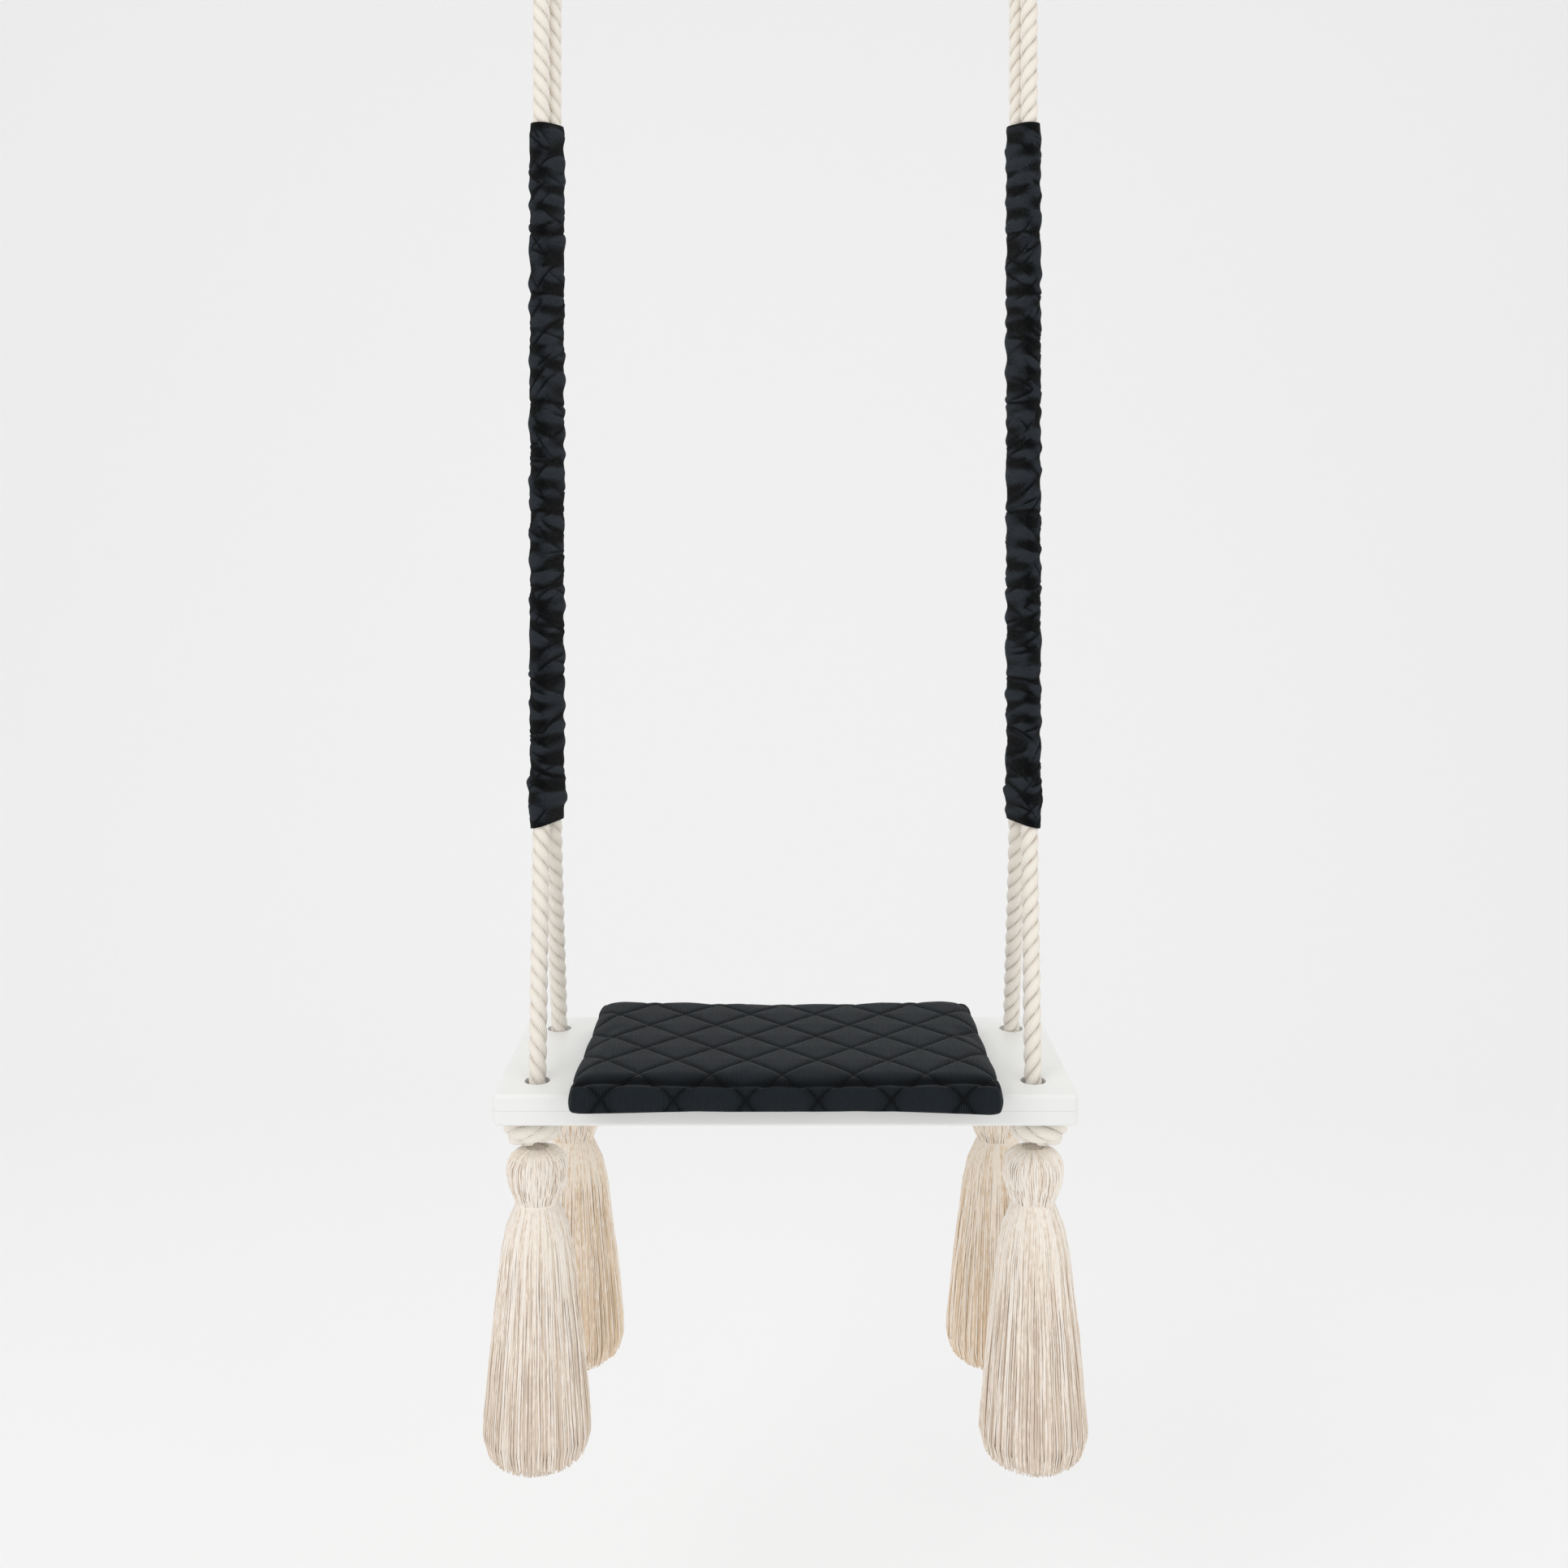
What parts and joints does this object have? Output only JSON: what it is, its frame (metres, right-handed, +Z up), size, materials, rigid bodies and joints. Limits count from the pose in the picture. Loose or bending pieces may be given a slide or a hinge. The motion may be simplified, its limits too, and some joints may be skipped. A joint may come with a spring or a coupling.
{
  "type": "hanging board swing",
  "caption": "Hanging swing seat: a painted board with a quilted cushion, on doubled cotton ropes with gathered sleeves, with yarn tassels under the rope knots.",
  "frame": {"origin": "in the ceiling plane, midway between the two hanging points, at the centre of the four screw holes", "axes": "+Z up, -Y to the front where the rider's legs hang, +X along the board"},
  "size_m": [0.474, 0.2425, 1.4098],
  "materials": {
    "steel_hardware": "zinc-plated, satin",
    "steel_pin": "plain",
    "thimble_steel": "pressed, bright",
    "cotton_rope": "three-strand twisted cotton, natural",
    "lashing_cord": "thin twisted cotton cord",
    "sleeve_cloth": "smooth black cloth, gathered",
    "painted_board": "white satin paint over wood",
    "quilted_cloth": "fine needlecord, quilted in diamonds",
    "foam": "open-cell foam",
    "tassel_yarn": "fine cotton yarn, natural"
  },
  "bodies": {
    "root": {"ceiling_plate_left": "steel_hardware", "ceiling_eye_left": "steel_hardware", "ceiling_plate_right": "steel_hardware", "ceiling_eye_right": "steel_hardware"},
    "hook_left": {"snap_hook_left": "steel_hardware", "gate_pin_left": "steel_pin"},
    "gate_left": {"hook_gate_left": "steel_hardware"},
    "line_left": {"thimble_left": "thimble_steel", "rope_left": "cotton_rope", "upper_lashing_left": "lashing_cord", "lower_lashing_left": "lashing_cord"},
    "sleeve_left": {"sleeve_left": "sleeve_cloth"},
    "hook_right": {"snap_hook_right": "steel_hardware", "gate_pin_right": "steel_pin"},
    "gate_right": {"hook_gate_right": "steel_hardware"},
    "line_right": {"thimble_right": "thimble_steel", "rope_right": "cotton_rope", "upper_lashing_right": "lashing_cord", "lower_lashing_right": "lashing_cord"},
    "sleeve_right": {"sleeve_right": "sleeve_cloth"},
    "seat": {"seat_board": "painted_board", "knot_front_left": "cotton_rope", "knot_front_right": "cotton_rope", "knot_rear_left": "cotton_rope", "knot_rear_right": "cotton_rope"},
    "cushion": {"cushion_cover": "quilted_cloth", "cushion_foam": "foam"},
    "tassel_front_left": {"rope_tail_front_left": "cotton_rope", "tassel_head_front_left": "tassel_yarn", "tassel_binding_front_left": "lashing_cord", "tassel_skirt_front_left": "tassel_yarn"},
    "tassel_front_right": {"rope_tail_front_right": "cotton_rope", "tassel_head_front_right": "tassel_yarn", "tassel_binding_front_right": "lashing_cord", "tassel_skirt_front_right": "tassel_yarn"},
    "tassel_rear_left": {"rope_tail_rear_left": "cotton_rope", "tassel_head_rear_left": "tassel_yarn", "tassel_binding_rear_left": "lashing_cord", "tassel_skirt_rear_left": "tassel_yarn"},
    "tassel_rear_right": {"rope_tail_rear_right": "cotton_rope", "tassel_head_rear_right": "tassel_yarn", "tassel_binding_rear_right": "lashing_cord", "tassel_skirt_rear_right": "tassel_yarn"}
  },
  "joints": [
    {"name": "fore_aft_swing", "type": "hinge", "parent": "root", "child": "hook_left", "pos_m": [-0.196, 0, -0.0297], "axis": [1, 0, 0], "range_deg": [-45, 45]},
    {"name": "side_sway", "type": "hinge", "parent": "hook_left", "child": "line_left", "pos_m": [-0.196, 0, -0.0974], "axis": [0, 1, 0], "range_deg": [-6, 6]},
    {"name": "fore_aft_swing_right", "type": "hinge", "parent": "root", "child": "hook_right", "pos_m": [0.196, 0, -0.0297], "axis": [1, 0, 0], "range_deg": [-45, 45]},
    {"name": "side_sway_right", "type": "hinge", "parent": "hook_right", "child": "line_right", "pos_m": [0.196, 0, -0.0974], "axis": [0, 1, 0], "range_deg": [-6, 6]},
    {"name": "seat_level", "type": "hinge", "parent": "line_left", "child": "seat", "pos_m": [-0.196, 0, -1.112], "axis": [0, 1, 0], "range_deg": [-6, 6]},
    {"name": "gate_left_open", "type": "hinge", "parent": "hook_left", "child": "gate_left", "pos_m": [-0.211, 0, -0.0832], "axis": [0, 1, 0], "range_deg": [0, 20], "stiffness_Nm_per_rad": 0.25, "springref_deg": -11.46},
    {"name": "gate_right_open", "type": "hinge", "parent": "hook_right", "child": "gate_right", "pos_m": [0.211, 0, -0.0832], "axis": [0, -1, 0], "range_deg": [0, 20], "stiffness_Nm_per_rad": 0.25, "springref_deg": -11.46},
    {"name": "sleeve_left_slide", "type": "slide", "parent": "line_left", "child": "sleeve_left", "axis": [0, 0, 1], "range_m": [0, 0.07]},
    {"name": "sleeve_right_slide", "type": "slide", "parent": "line_right", "child": "sleeve_right", "axis": [0, 0, 1], "range_m": [0, 0.07]},
    {"name": "cushion_lift", "type": "slide", "parent": "seat", "child": "cushion", "axis": [0, 0, 1], "range_m": [0, 0.12]},
    {"name": "tassel_front_left_swing", "type": "hinge", "parent": "seat", "child": "tassel_front_left", "pos_m": [-0.1945, -0.066, -1.151], "axis": [1, 0, 0], "range_deg": [-20, 10]},
    {"name": "tassel_front_right_swing", "type": "hinge", "parent": "seat", "child": "tassel_front_right", "pos_m": [0.1945, -0.066, -1.151], "axis": [1, 0, 0], "range_deg": [-20, 10]},
    {"name": "tassel_rear_left_swing", "type": "hinge", "parent": "seat", "child": "tassel_rear_left", "pos_m": [-0.1825, 0.066, -1.151], "axis": [1, 0, 0], "range_deg": [-10, 20]},
    {"name": "tassel_rear_right_swing", "type": "hinge", "parent": "seat", "child": "tassel_rear_right", "pos_m": [0.1825, 0.066, -1.151], "axis": [1, 0, 0], "range_deg": [-10, 20]}
  ],
  "couplings": [
    {"joint": "fore_aft_swing_right", "follows": "fore_aft_swing", "ratio": 1},
    {"joint": "side_sway_right", "follows": "side_sway", "ratio": 1},
    {"joint": "seat_level", "follows": "side_sway", "ratio": -1}
  ]
}
